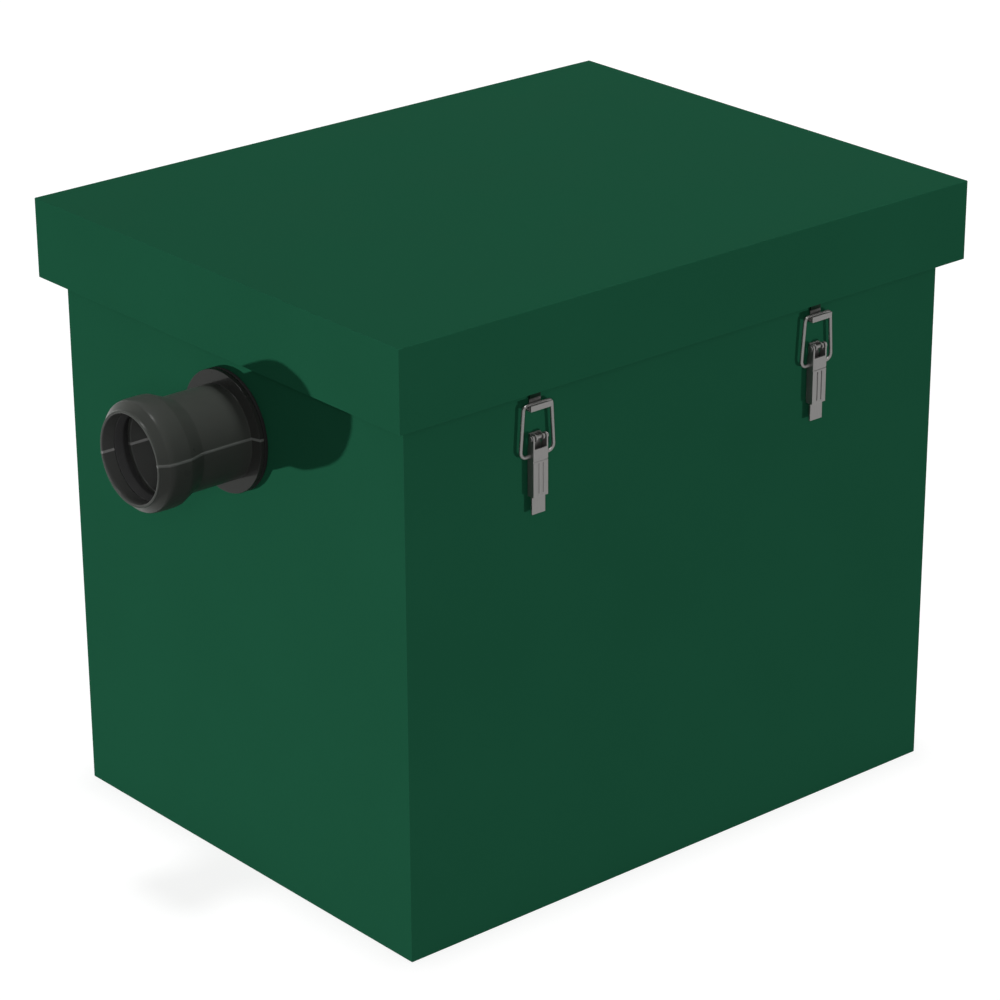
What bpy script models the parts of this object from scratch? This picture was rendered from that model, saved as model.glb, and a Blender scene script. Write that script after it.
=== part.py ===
"""Sink sand trap: a tank welded from plastic sheet, with a lid held down by four toggle latches.

Metres, +Z up. The origin is the middle of the tank's underside. X runs along the tank from the
inlet end (-X) to the outlet end (+X), and the front, with the latches that face the viewer, is -Y.
"""

import math

import bmesh
import bpy
from mathutils import Vector

# Tank
TANK_LENGTH = 0.400
TANK_WIDTH = 0.305
TANK_HEIGHT = 0.3595
TANK_SHEET = 0.005
WELD_GAP = 0.0003

# Rim that stiffens the mouth of the tank, outside its walls, with a gap where each keeper passes
RIM_SHEET = 0.005
RIM_HEIGHT = 0.022
RIM_GAP_BESIDE_KEEPER = 0.0025

# Lid
LID_SHEET = 0.005
LID_HEIGHT = 0.0476
LID_SIDE_CLEARANCE = 0.0014
GASKET_THICKNESS = 0.0024
GASKET_GAP = 0.0003

# Plates across the inside of the tank
HANGING_BAFFLE_X = -0.075
HANGING_BAFFLE_BOTTOM = 0.105
HANGING_BAFFLE_BELOW_RIM = 0.026
WEIR_X = 0.085
WEIR_BELOW_OUTLET = 0.017

# Pipe sockets, as seen from the wall that they stand on
FLANGE_BELOW_SKIRT = 0.0125
OUTLET_DROP = 0.010
SOCKET_REACH = 0.0677
SOCKET_BODY_RADIUS = 0.0275
SOCKET_BORE_RADIUS = 0.0253
SOCKET_MOUTH_FLARE = 0.0005
SOCKET_MOUTH_LENGTH = 0.0033
WATERWAY_RADIUS = 0.0230
STOP_FROM_WALL = 0.016
BEAD_RADIUS = 0.0320
BEAD_LENGTH = 0.0224
BEAD_CONE = 0.0045
BEAD_WALL = 0.0023
SEAL_GROOVE_LENGTH = 0.0110
SEAL_GROOVE_FROM_MOUTH = 0.0080
SEAL_GAP = 0.0003
SEAL_LIP_RADIUS = 0.0244
SEAL_LIP_WIDTH = 0.0013
FLANGE_RADIUS = 0.0354
FLANGE_THICKNESS = 0.0027
WALL_GASKET_THICKNESS = 0.0020
WALL_GASKET_GAP = 0.0003
WALL_HOLE_CLEARANCE = 0.0006
SPIGOT_PAST_NUT = 0.004
NUT_THICKNESS = 0.011
NUT_ACROSS_FLATS = 0.068
NUT_THREAD_CLEARANCE = 0.0004

# Toggle latches
LATCH_SPACING = 0.2106
LATCH_ROW_SHIFT = -0.0051
STEEL_SHEET = 0.0010
BASE_SHEET = 0.0012
BASE_OFF_WALL = 0.0003
WIRE_RADIUS = 0.0010
BAR_BELOW_SKIRT = 0.0100
BAR_OFF_WALL = 0.0032
BAIL_HEIGHT = 0.0294
BAIL_TOP_WIDTH = 0.0198
BAIL_FOOT_WIDTH = 0.0238
BAIL_TOP_BEND = 0.0024
BAIL_FOOT_BEND = 0.0038
BAIL_PIVOT_OFF_WALL = 0.0028
BAIL_HOLE_CLEARANCE = 0.0002
LEVER_PIVOT_OFF_WALL = 0.0041
CRANK = 0.0104
LEVER_WIDTH = 0.0104
LEVER_EYE_RADIUS = 0.0019
LEVER_SIDES_OFF_WALL = 0.0010
LEVER_SIDES_FLARE_FROM_PIN = 0.0024
LEVER_WINDOW = 0.0060
LEVER_PLATE_LENGTH = 0.0277
TIP_LENGTH = 0.0105
TIP_WIDTH = 0.0094
TIP_SET_BACK = 0.0018
CREASE_BELOW_WINDOW = 0.0067
CREASE_WIDTH = 0.0008
GROOVE_WIDTH = 0.0010
GROOVE_SPACING = 0.0032
GROOVE_DEPTH = 0.0004
PIVOT_CLEARANCE = 0.0003
PIN_RADIUS = 0.0010
PIN_HEAD_RADIUS = 0.0015
PIN_HEAD_LENGTH = 0.0006
EAR_SPACING = 0.0060
EAR_SHEET = 0.0010
BASE_WIDTH = 0.0076
RIVET_RADIUS = 0.0021
RIVET_CROWN_RADIUS = 0.0013
RIVET_HEAD = 0.0009
RIVET_EDGE = 0.0003
RIVET_SPACING = 0.0130
KEEPER_SHEET = 0.0010
KEEPER_WIDTH = 0.0154
KEEPER_NECK_WIDTH = 0.0080
KEEPER_LIP_HEIGHT = 0.0033
BAR_SEAT_GAP = 0.0003
BAR_FRONT_ROOM = 0.0018
BAR_BACK_ROOM = 0.0008
KEEPER_GAP = 0.0003
KEEPER_BEND_ABOVE_SKIRT = 0.0035
KEEPER_BEND_HEIGHT = 0.0030
KEEPER_TOP_BELOW_RIM = 0.0020

# How finely round shapes are cut into flats
PIPE_SIDES = 48
SMALL_SIDES = 16
EYE_STEPS = 8
BEND_STEPS = 5

# Places that follow from the sizes above
HALF_LENGTH = TANK_LENGTH / 2
HALF_WIDTH = TANK_WIDTH / 2
LID_UNDERSIDE = TANK_HEIGHT + GASKET_THICKNESS + 2 * GASKET_GAP
LID_TOP = LID_UNDERSIDE + LID_SHEET
SKIRT_BOTTOM = LID_TOP - LID_HEIGHT
SKIRT_INSIDE = RIM_SHEET + LID_SIDE_CLEARANCE
LID_OVERHANG = SKIRT_INSIDE + LID_SHEET
RIM_BOTTOM = TANK_HEIGHT - RIM_HEIGHT
INLET_HEIGHT = SKIRT_BOTTOM - FLANGE_BELOW_SKIRT - FLANGE_RADIUS
OUTLET_HEIGHT = INLET_HEIGHT - OUTLET_DROP
WEIR_TOP = OUTLET_HEIGHT - WATERWAY_RADIUS - WEIR_BELOW_OUTLET
BAR_HEIGHT = SKIRT_BOTTOM - BAR_BELOW_SKIRT
BAIL_PIVOT_HEIGHT = BAR_HEIGHT - BAIL_HEIGHT
LEVER_PIVOT_HEIGHT = BAIL_PIVOT_HEIGHT + CRANK
LATCH_STATIONS = (
    ("inlet", LATCH_ROW_SHIFT - LATCH_SPACING / 2),
    ("outlet", LATCH_ROW_SHIFT + LATCH_SPACING / 2),
)


def linear(red, green, blue):
    """A screen colour from 0 to 255 as the linear colour that a shader takes."""
    channels = (red / 255, green / 255, blue / 255)
    return tuple(
        value / 12.92 if value <= 0.04045 else ((value + 0.055) / 1.055) ** 2.4
        for value in channels
    ) + (1.0,)


def finish(name, colour, roughness, metallic=0.0):
    """A plain material."""
    material = bpy.data.materials.new(name)
    material.use_nodes = True
    shader = material.node_tree.nodes["Principled BSDF"]
    shader.inputs["Base Color"].default_value = colour
    shader.inputs["Roughness"].default_value = roughness
    shader.inputs["Metallic"].default_value = metallic
    material.diffuse_color = colour
    return material


def place(name, shape, material, location=(0, 0, 0), parent=None):
    """Turns a bmesh or a mesh into a named object."""
    if isinstance(shape, bmesh.types.BMesh):
        mesh = bpy.data.meshes.new(name)
        shape.to_mesh(mesh)
        shape.free()
    else:
        mesh = shape
    if material and not mesh.materials:
        mesh.materials.append(material)
    thing = bpy.data.objects.new(name, mesh)
    bpy.context.collection.objects.link(thing)
    thing.location = location
    thing.parent = parent
    return thing


def prism(outline, axis, start, end):
    """A flat outline carried along one axis. The outline's pairs are the other two, in order."""
    spots = {
        "X": lambda u, v: (start, u, v),
        "Y": lambda u, v: (u, start, v),
        "Z": lambda u, v: (u, v, start),
    }
    step = {"X": (1, 0, 0), "Y": (0, 1, 0), "Z": (0, 0, 1)}[axis]
    shape = bmesh.new()
    face = shape.faces.new([shape.verts.new(spots[axis](u, v)) for u, v in outline])
    carried = bmesh.ops.extrude_face_region(shape, geom=[face])["geom"]
    moved = [item for item in carried if isinstance(item, bmesh.types.BMVert)]
    bmesh.ops.translate(shape, verts=moved, vec=Vector(step) * (end - start))
    bmesh.ops.recalc_face_normals(shape, faces=shape.faces)
    return shape


def rectangle(low_u, high_u, low_v, high_v):
    """The four corners of a rectangle."""
    return [(low_u, low_v), (high_u, low_v), (high_u, high_v), (low_u, high_v)]


def arc(centre_u, centre_v, radius, first, last, steps):
    """Points along an arc, with its angles in degrees."""
    angles = [math.radians(first + (last - first) * n / steps) for n in range(steps + 1)]
    return [(centre_u + radius * math.cos(a), centre_v + radius * math.sin(a)) for a in angles]


def turned(profile, sides):
    """A closed profile of (place along X, radius) turned about the X axis."""
    shape = bmesh.new()
    corners = [shape.verts.new((along, 0, radius)) for along, radius in profile]
    edges = [shape.edges.new((a, b)) for a, b in zip(corners, corners[1:] + corners[:1])]
    bmesh.ops.spin(
        shape,
        geom=corners + edges,
        cent=(0, 0, 0),
        axis=(1, 0, 0),
        angle=math.tau,
        steps=sides,
        use_merge=True,
    )
    bmesh.ops.remove_doubles(shape, verts=shape.verts, dist=1e-7)
    on_axis = [edge for edge in shape.edges if not edge.link_faces]
    bmesh.ops.delete(shape, geom=on_axis, context="EDGES")
    bmesh.ops.recalc_face_normals(shape, faces=shape.faces)
    return shape


def rounded_path(corners, radii, steps):
    """An open line of points in a plane, with each inner corner rounded to its radius."""
    path = [corners[0]]
    for before, corner, after, radius in zip(corners, corners[1:], corners[2:], radii):
        here = Vector(corner)
        back = (Vector(before) - here).normalized()
        ahead = (Vector(after) - here).normalized()
        half = back.angle(ahead) / 2
        centre = here + (back + ahead).normalized() * (radius / math.sin(half))
        start = here + back * (radius / math.tan(half)) - centre
        end = here + ahead * (radius / math.tan(half)) - centre
        turn = start.angle_signed(end)
        for n in range(steps + 1):
            angle = -turn * n / steps
            path.append(
                (
                    centre.x + start.x * math.cos(angle) - start.y * math.sin(angle),
                    centre.y + start.x * math.sin(angle) + start.y * math.cos(angle),
                )
            )
    path.append(corners[-1])
    return path


def tool(name, shape, location=(0, 0, 0), parent=None):
    """A hidden shape that is only cut from another or joined to it."""
    helper = place(name, shape, None, location, parent)
    helper.display_type = "WIRE"
    helper.hide_render = True
    return helper


def combine(thing, helper, operation):
    """Cuts a helper shape from a piece, or joins it to the piece."""
    step = thing.modifiers.new(helper.name, "BOOLEAN")
    step.operation = operation
    step.solver = "EXACT"
    step.object = helper


def smooth(thing, angle=35):
    """Shades a round piece smooth and keeps its real edges sharp."""
    thing.data.shade_smooth()
    thing.data.set_sharp_from_angle(angle=math.radians(angle))


def build_tank(plastic):
    """Floor and four walls: the end walls and the floor stand between the long walls."""
    inner_length = HALF_LENGTH - TANK_SHEET - WELD_GAP
    inner_width = HALF_WIDTH - TANK_SHEET - WELD_GAP
    floor = rectangle(-inner_length, inner_length, -inner_width, inner_width)
    place("floor_plate", prism(floor, "Z", 0, TANK_SHEET), plastic)
    long_wall = rectangle(-HALF_LENGTH, HALF_LENGTH, 0, TANK_HEIGHT)
    place("front_wall", prism(long_wall, "Y", -HALF_WIDTH, TANK_SHEET - HALF_WIDTH), plastic)
    place("rear_wall", prism(long_wall, "Y", HALF_WIDTH - TANK_SHEET, HALF_WIDTH), plastic)
    end_wall = rectangle(-inner_width, inner_width, 0, TANK_HEIGHT)
    for end, side, height in pipe_ends():
        near = side * HALF_LENGTH
        far = side * (HALF_LENGTH - TANK_SHEET)
        wall = place(end + "_wall", prism(end_wall, "X", near, far), plastic)
        hole = turned(bar_profile(2 * TANK_SHEET, SOCKET_BODY_RADIUS + WALL_HOLE_CLEARANCE), PIPE_SIDES)
        cutter = tool(end + "_wall_hole", hole, (side * (HALF_LENGTH - TANK_SHEET / 2), 0, height))
        combine(wall, cutter, "DIFFERENCE")


def pipe_ends():
    """The two ends of the tank: name, side along X and height of the pipe."""
    return ("inlet", -1, INLET_HEIGHT), ("outlet", 1, OUTLET_HEIGHT)


def bar_profile(length, radius):
    """Half the section of a plain round bar, centred on the origin."""
    half = length / 2
    return [(-half, 0), (-half, radius), (half, radius), (half, 0)]


def build_rim(plastic):
    """Strips welded round the outside of the mouth, which the lid's gasket also bears on.

    A straight strip stands between the two keepers of each long side. Round each end goes a strip
    with its two ends folded back along the long sides, as far as the keepers.
    """
    inside = HALF_WIDTH + WELD_GAP
    outside = HALF_WIDTH + RIM_SHEET
    beside = KEEPER_WIDTH / 2 + RIM_GAP_BESIDE_KEEPER
    stations = dict(LATCH_STATIONS)
    middle = rectangle(stations["inlet"] + beside, stations["outlet"] - beside, RIM_BOTTOM, TANK_HEIGHT)
    place("front_rim", prism(middle, "Y", -outside, -inside), plastic)
    place("rear_rim", prism(middle, "Y", inside, outside), plastic)
    for end, side, _ in pipe_ends():
        fold = stations[end] + side * beside
        near = side * (HALF_LENGTH + WELD_GAP)
        far = side * (HALF_LENGTH + RIM_SHEET)
        outline = [(fold, -outside), (far, -outside), (far, outside), (fold, outside)]
        outline += [(fold, inside), (near, inside), (near, -inside), (fold, -inside)]
        place(end + "_rim", prism(outline, "Z", RIM_BOTTOM, TANK_HEIGHT), plastic)


def build_inner_plates(plastic):
    """The hanging baffle, which sends the water down, and the weir that it leaves over."""
    half = HALF_WIDTH - TANK_SHEET - WELD_GAP
    top = TANK_HEIGHT - HANGING_BAFFLE_BELOW_RIM
    hanging = rectangle(-half, half, HANGING_BAFFLE_BOTTOM, top)
    start = HANGING_BAFFLE_X - TANK_SHEET / 2
    place("hanging_baffle", prism(hanging, "X", start, start + TANK_SHEET), plastic)
    standing = rectangle(-half, half, TANK_SHEET + WELD_GAP, WEIR_TOP)
    start = WEIR_X - TANK_SHEET / 2
    place("outlet_weir", prism(standing, "X", start, start + TANK_SHEET), plastic)


def build_lid(plastic, rubber):
    """A flat plate with a deep skirt, and the gasket between it and the mouth of the tank."""
    half_length = HALF_LENGTH + LID_OVERHANG
    half_width = HALF_WIDTH + LID_OVERHANG
    plate = rectangle(-half_length, half_length, -half_width, half_width)
    place("lid_plate", prism(plate, "Z", LID_UNDERSIDE, LID_TOP), plastic)
    skirt_top = LID_UNDERSIDE - WELD_GAP
    inner = half_width - LID_SHEET
    long_skirt = rectangle(-half_length, half_length, SKIRT_BOTTOM, skirt_top)
    place("front_skirt", prism(long_skirt, "Y", -half_width, -inner), plastic)
    place("rear_skirt", prism(long_skirt, "Y", inner, half_width), plastic)
    end_skirt = rectangle(WELD_GAP - inner, inner - WELD_GAP, SKIRT_BOTTOM, skirt_top)
    for end, side, _ in pipe_ends():
        start = side * (half_length - LID_SHEET)
        place(end + "_skirt", prism(end_skirt, "X", start, side * half_length), plastic)
    start = TANK_HEIGHT + GASKET_GAP
    end = start + GASKET_THICKNESS
    reach = HALF_LENGTH + RIM_SHEET
    width = HALF_WIDTH + RIM_SHEET
    band = prism(rectangle(-reach, reach, -width, width), "Z", start, end)
    gasket = place("lid_gasket", band, rubber)
    opening_x = HALF_LENGTH - TANK_SHEET
    opening_y = HALF_WIDTH - TANK_SHEET
    mouth = rectangle(-opening_x, opening_x, -opening_y, opening_y)
    cutter = tool("lid_gasket_opening", prism(mouth, "Z", start - RIM_SHEET, end + RIM_SHEET))
    combine(gasket, cutter, "DIFFERENCE")


def socket_profile():
    """Half the section of a push-fit socket. Places along X count outwards from the wall."""
    flange_back = WALL_GASKET_THICKNESS + 2 * WALL_GASKET_GAP
    flange_front = flange_back + FLANGE_THICKNESS
    bead_start = SOCKET_REACH - SOCKET_MOUTH_LENGTH
    bead_end = bead_start - BEAD_LENGTH
    groove_start = SOCKET_REACH - SEAL_GROOVE_FROM_MOUTH
    groove_end = groove_start - SEAL_GROOVE_LENGTH
    groove_radius = BEAD_RADIUS - BEAD_WALL
    mouth_outside = SOCKET_BORE_RADIUS + SOCKET_MOUTH_FLARE + BEAD_WALL / 2
    tail = -(TANK_SHEET + WELD_GAP + NUT_THICKNESS + SPIGOT_PAST_NUT)
    return [
        (SOCKET_REACH, mouth_outside),
        (bead_start, BEAD_RADIUS),
        (bead_end, BEAD_RADIUS),
        (bead_end - BEAD_CONE, SOCKET_BODY_RADIUS),
        (flange_front, SOCKET_BODY_RADIUS),
        (flange_front, FLANGE_RADIUS),
        (flange_back, FLANGE_RADIUS),
        (flange_back, SOCKET_BODY_RADIUS),
        (tail, SOCKET_BODY_RADIUS),
        (tail, WATERWAY_RADIUS),
        (STOP_FROM_WALL, WATERWAY_RADIUS),
        (STOP_FROM_WALL, SOCKET_BORE_RADIUS),
        (groove_end, SOCKET_BORE_RADIUS),
        (groove_end, groove_radius),
        (groove_start, groove_radius),
        (groove_start, SOCKET_BORE_RADIUS),
        (SOCKET_REACH, SOCKET_BORE_RADIUS + SOCKET_MOUTH_FLARE),
    ]


def seal_profile():
    """Half the section of the rubber ring that lies in the socket's groove, with its lip inwards."""
    outer = BEAD_RADIUS - BEAD_WALL - SEAL_GAP
    front = SOCKET_REACH - SEAL_GROOVE_FROM_MOUTH - SEAL_GAP
    back = front - SEAL_GROOVE_LENGTH + 2 * SEAL_GAP
    inner = SOCKET_BORE_RADIUS
    lip = (front + back) / 2
    return [
        (front, outer),
        (back, outer),
        (back, (outer + inner) / 2),
        (lip, SEAL_LIP_RADIUS),
        (lip + SEAL_LIP_WIDTH, SEAL_LIP_RADIUS),
        (front, inner),
    ]


def build_pipe_fittings(hard_plastic, rubber):
    """At each end: the socket through the wall, its lip seal, its wall gasket and its back nut."""
    for end, side, height in pipe_ends():
        wall_face = bpy.data.objects.new(end + "_pipe_axis", None)
        bpy.context.collection.objects.link(wall_face)
        wall_face.location = (side * HALF_LENGTH, 0, height)
        wall_face.rotation_euler.z = 0 if side > 0 else math.pi
        socket = place(end + "_socket", turned(socket_profile(), PIPE_SIDES), hard_plastic, parent=wall_face)
        smooth(socket)
        seal = place(end + "_lip_seal", turned(seal_profile(), PIPE_SIDES), rubber, parent=wall_face)
        smooth(seal)
        inner = SOCKET_BODY_RADIUS + WALL_HOLE_CLEARANCE
        start = WALL_GASKET_GAP
        end_place = start + WALL_GASKET_THICKNESS
        ring = [(start, inner), (start, FLANGE_RADIUS), (end_place, FLANGE_RADIUS), (end_place, inner)]
        washer = place(end + "_wall_gasket", turned(ring, PIPE_SIDES), rubber, parent=wall_face)
        smooth(washer)
        build_back_nut(end, wall_face, hard_plastic)


def build_back_nut(end, wall_face, hard_plastic):
    """A six-sided plastic nut on the spigot, tight against the inside of the wall."""
    near = -(TANK_SHEET + WELD_GAP)
    far = near - NUT_THICKNESS
    corner = NUT_ACROSS_FLATS / math.sqrt(3)
    hexagon = arc(0, 0, corner, 0, 300, 5)
    nut = place(end + "_back_nut", prism(hexagon, "X", far, near), hard_plastic, parent=wall_face)
    bore = turned(bar_profile(2 * NUT_THICKNESS, SOCKET_BODY_RADIUS + NUT_THREAD_CLEARANCE), PIPE_SIDES)
    cutter = tool(end + "_back_nut_bore", bore, ((near + far) / 2, 0, 0), wall_face)
    combine(nut, cutter, "DIFFERENCE")


def lever_mesh(steel):
    """A channel of thin steel, open to the wall, with a window at the pin and a set-back tip.

    The origin is on the lever's pin. Outwards from the wall is -Y.
    """
    front = LEVER_EYE_RADIUS
    back = LEVER_PIVOT_OFF_WALL - LEVER_SIDES_OFF_WALL
    plate_top = -LEVER_WINDOW
    plate_bottom = plate_top - LEVER_PLATE_LENGTH
    tip_front = front - TIP_SET_BACK
    tip_back = tip_front - STEEL_SHEET
    tip_bottom = plate_bottom - TIP_LENGTH
    half = LEVER_WIDTH / 2
    outline = [(-x, z) for x, z in arc(0, 0, front, 0, 180, EYE_STEPS)]
    outline += [(front, -LEVER_SIDES_FLARE_FROM_PIN), (back, plate_top), (back, plate_bottom)]
    outline += [(-front, plate_bottom)]
    lever = place("lever_pattern", prism(outline, "X", -half, half), steel)
    tip = rectangle(-tip_front, -tip_back, tip_bottom, plate_bottom + STEEL_SHEET / 2)
    tip_shape = tool("tip_shape", prism(tip, "X", -TIP_WIDTH / 2, TIP_WIDTH / 2))
    combine(lever, tip_shape, "UNION")
    inside = half - STEEL_SHEET
    past = front + back
    hollow = [
        (past, plate_bottom + STEEL_SHEET),
        (-(front - STEEL_SHEET), plate_bottom + STEEL_SHEET),
        (-(front - STEEL_SHEET), plate_top),
        (-past, plate_top),
        (-past, past),
        (past, past),
    ]
    helpers = [tool("lever_hollow", prism(hollow, "X", -inside, inside))]
    pin_hole = turned(bar_profile(2 * LEVER_WIDTH, PIN_RADIUS + PIVOT_CLEARANCE), SMALL_SIDES)
    helpers.append(tool("lever_pin_hole", pin_hole))
    bail_hole = turned(bar_profile(2 * LEVER_WIDTH, WIRE_RADIUS + BAIL_HOLE_CLEARANCE), SMALL_SIDES)
    inwards = LEVER_PIVOT_OFF_WALL - BAIL_PIVOT_OFF_WALL
    helpers.append(tool("lever_bail_hole", bail_hole, (0, inwards, -CRANK)))
    crease_top = plate_top - CREASE_BELOW_WINDOW
    crease = rectangle(-past, GROOVE_DEPTH - front, crease_top - CREASE_WIDTH, crease_top)
    helpers.append(tool("lever_crease", prism(crease, "X", -LEVER_WIDTH, LEVER_WIDTH)))
    groove_top = crease_top - 2 * CREASE_WIDTH
    groove_bottom = plate_bottom + 2 * CREASE_WIDTH
    groove = rectangle(-past, GROOVE_DEPTH - front, groove_bottom, groove_top)
    for middle in (-GROOVE_SPACING / 2, GROOVE_SPACING / 2):
        start = middle - GROOVE_WIDTH / 2
        helpers.append(tool("lever_groove", prism(groove, "X", start, start + GROOVE_WIDTH)))
    for helper in helpers:
        combine(lever, helper, "DIFFERENCE")
    return baked(lever, [tip_shape] + helpers)


def baked(pattern, helpers):
    """The finished mesh of a pattern object. The pattern and its helpers go."""
    bpy.context.view_layer.update()
    evaluated = pattern.evaluated_get(bpy.context.evaluated_depsgraph_get())
    mesh = bpy.data.meshes.new_from_object(evaluated)
    for thing in [pattern] + helpers:
        bpy.data.objects.remove(thing)
    return mesh


def base_mesh(steel):
    """The plate on the wall, with two ears for the lever's pin and the heads of its two rivets.

    The origin is on the lever's pin. Outwards from the wall is -Y.
    """
    back = LEVER_PIVOT_OFF_WALL - BASE_OFF_WALL
    front = back - BASE_SHEET
    top = LEVER_EYE_RADIUS
    bottom = -(LEVER_WINDOW + LEVER_PLATE_LENGTH) + LEVER_EYE_RADIUS
    half = BASE_WIDTH / 2
    plate = rectangle(front, back, bottom, top)
    base = place("base_pattern", prism(plate, "X", -half, half), steel)
    deep = (front + back) / 2
    outline = arc(0, 0, top, 90, 270, EYE_STEPS) + [(deep, -top), (deep, top)]
    helpers = []
    for side in (-1, 1):
        outer = side * EAR_SPACING / 2
        inner = outer - side * EAR_SHEET
        low, high = sorted((outer, inner))
        helpers.append(tool("base_ear", prism(outline, "X", low, high)))
    for count in (1, 2):
        height = plate_middle() + (1.5 - count) * RIVET_SPACING
        helpers.append(tool("rivet_head", rivet_head(front, height)))
    for helper in helpers:
        combine(base, helper, "UNION")
    hole = turned(bar_profile(2 * EAR_SPACING, PIN_RADIUS + PIVOT_CLEARANCE), SMALL_SIDES)
    pin_hole = tool("base_pin_hole", hole)
    combine(base, pin_hole, "DIFFERENCE")
    return baked(base, helpers + [pin_hole])


def plate_middle():
    """The height of the middle of the lever's plate, from the lever's pin."""
    return -(LEVER_WINDOW + LEVER_PLATE_LENGTH / 2)


def rivet_head(face, height):
    """A low domed head that stands out of the base plate."""
    shape = bmesh.new()
    rings = []
    steps = (
        (RIVET_RADIUS, -BASE_SHEET / 2),
        (RIVET_RADIUS, RIVET_EDGE),
        (RIVET_CROWN_RADIUS, RIVET_HEAD),
    )
    for radius, out in steps:
        circle = arc(0, height, radius, 0, 360, SMALL_SIDES)[:-1]
        rings.append([shape.verts.new((x, face - out, z)) for x, z in circle])
    for lower, upper in zip(rings, rings[1:]):
        for n in range(SMALL_SIDES):
            following = (n + 1) % SMALL_SIDES
            shape.faces.new((lower[n], lower[following], upper[following], upper[n]))
    shape.faces.new(rings[0])
    shape.faces.new(rings[-1])
    bmesh.ops.recalc_face_normals(shape, faces=shape.faces)
    return shape


def bail_mesh(steel):
    """A loop of round wire, turned in at its foot through the lever's two sides.

    The origin is on the bail's pivot in the lever. Outwards from the wall is -Y.
    """
    lean = math.atan2(BAR_OFF_WALL - BAIL_PIVOT_OFF_WALL, BAIL_HEIGHT)
    length = math.hypot(BAR_OFF_WALL - BAIL_PIVOT_OFF_WALL, BAIL_HEIGHT)
    foot = BAIL_FOOT_WIDTH / 2
    head = BAIL_TOP_WIDTH / 2
    end = EAR_SPACING / 2 + 2 * PIVOT_CLEARANCE
    corners = [(-end, 0), (-foot, 0), (-head, length), (head, length), (foot, 0), (end, 0)]
    bends = [BAIL_FOOT_BEND, BAIL_TOP_BEND, BAIL_TOP_BEND, BAIL_FOOT_BEND]
    wire = bpy.data.curves.new("bail_wire", "CURVE")
    wire.dimensions = "3D"
    wire.bevel_depth = WIRE_RADIUS
    wire.bevel_resolution = 2
    wire.use_fill_caps = True
    path = rounded_path(corners, bends, BEND_STEPS)
    line = wire.splines.new("POLY")
    line.points.add(len(path) - 1)
    for point, (across, up) in zip(line.points, path):
        point.co = (across, -up * math.sin(lean), up * math.cos(lean), 1)
    pattern = bpy.data.objects.new("bail_pattern", wire)
    bpy.context.collection.objects.link(pattern)
    mesh = baked(pattern, [])
    mesh.materials.clear()
    mesh.materials.append(steel)
    return mesh


def keeper_mesh(steel):
    """A strip of steel behind the lid's skirt, with a hook under its edge for the bail's bar.

    The origin is at the bar's height on the face of the wall. Outwards is -Y.
    """
    plate_front = BAR_OFF_WALL - WIRE_RADIUS - BAR_BACK_ROOM
    plate_back = plate_front - KEEPER_SHEET
    lip_back = BAR_OFF_WALL + WIRE_RADIUS + BAR_FRONT_ROOM
    lip_front = lip_back + KEEPER_SHEET
    seat = -(WIRE_RADIUS + BAR_SEAT_GAP)
    under = seat - KEEPER_SHEET
    lip_top = under + KEEPER_LIP_HEIGHT
    bend_start = BAR_BELOW_SKIRT + KEEPER_BEND_ABOVE_SKIRT
    bend_end = bend_start + KEEPER_BEND_HEIGHT
    top = RIM_BOTTOM - KEEPER_TOP_BELOW_RIM - BAR_HEIGHT
    upper_front = SKIRT_INSIDE - KEEPER_GAP
    upper_back = upper_front - KEEPER_SHEET
    section = [
        (plate_back, under),
        (lip_front, under),
        (lip_front, lip_top),
        (lip_back, lip_top),
        (lip_back, seat),
        (plate_front, seat),
        (plate_front, bend_start),
        (upper_front, bend_end),
        (upper_front, top),
        (upper_back, top),
        (upper_back, bend_end + KEEPER_SHEET / 2),
        (plate_back, bend_start + KEEPER_SHEET / 2),
    ]
    outline = [(-out, height) for out, height in section]
    half = KEEPER_WIDTH / 2
    keeper = place("keeper_pattern", prism(outline, "X", -half, half), steel)
    beside_neck = rectangle(-2 * plate_front, 0, seat, bend_start)
    helpers = []
    for side in (-1, 1):
        low, high = sorted((side * KEEPER_NECK_WIDTH / 2, side * KEEPER_WIDTH))
        helpers.append(tool("keeper_beside_neck", prism(beside_neck, "X", low, high)))
    for helper in helpers:
        combine(keeper, helper, "DIFFERENCE")
    return baked(keeper, helpers)


def pin_mesh(steel):
    """The pin that the lever turns on, with a flat head at each end."""
    reach = LEVER_WIDTH / 2 + PIVOT_CLEARANCE
    end = reach + PIN_HEAD_LENGTH
    profile = [
        (-end, 0),
        (-end, PIN_HEAD_RADIUS),
        (-reach, PIN_HEAD_RADIUS),
        (-reach, PIN_RADIUS),
        (reach, PIN_RADIUS),
        (reach, PIN_HEAD_RADIUS),
        (end, PIN_HEAD_RADIUS),
        (end, 0),
    ]
    shape = turned(profile, SMALL_SIDES)
    mesh = bpy.data.meshes.new("latch_pin")
    shape.to_mesh(mesh)
    shape.free()
    mesh.materials.append(steel)
    return mesh


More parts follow.
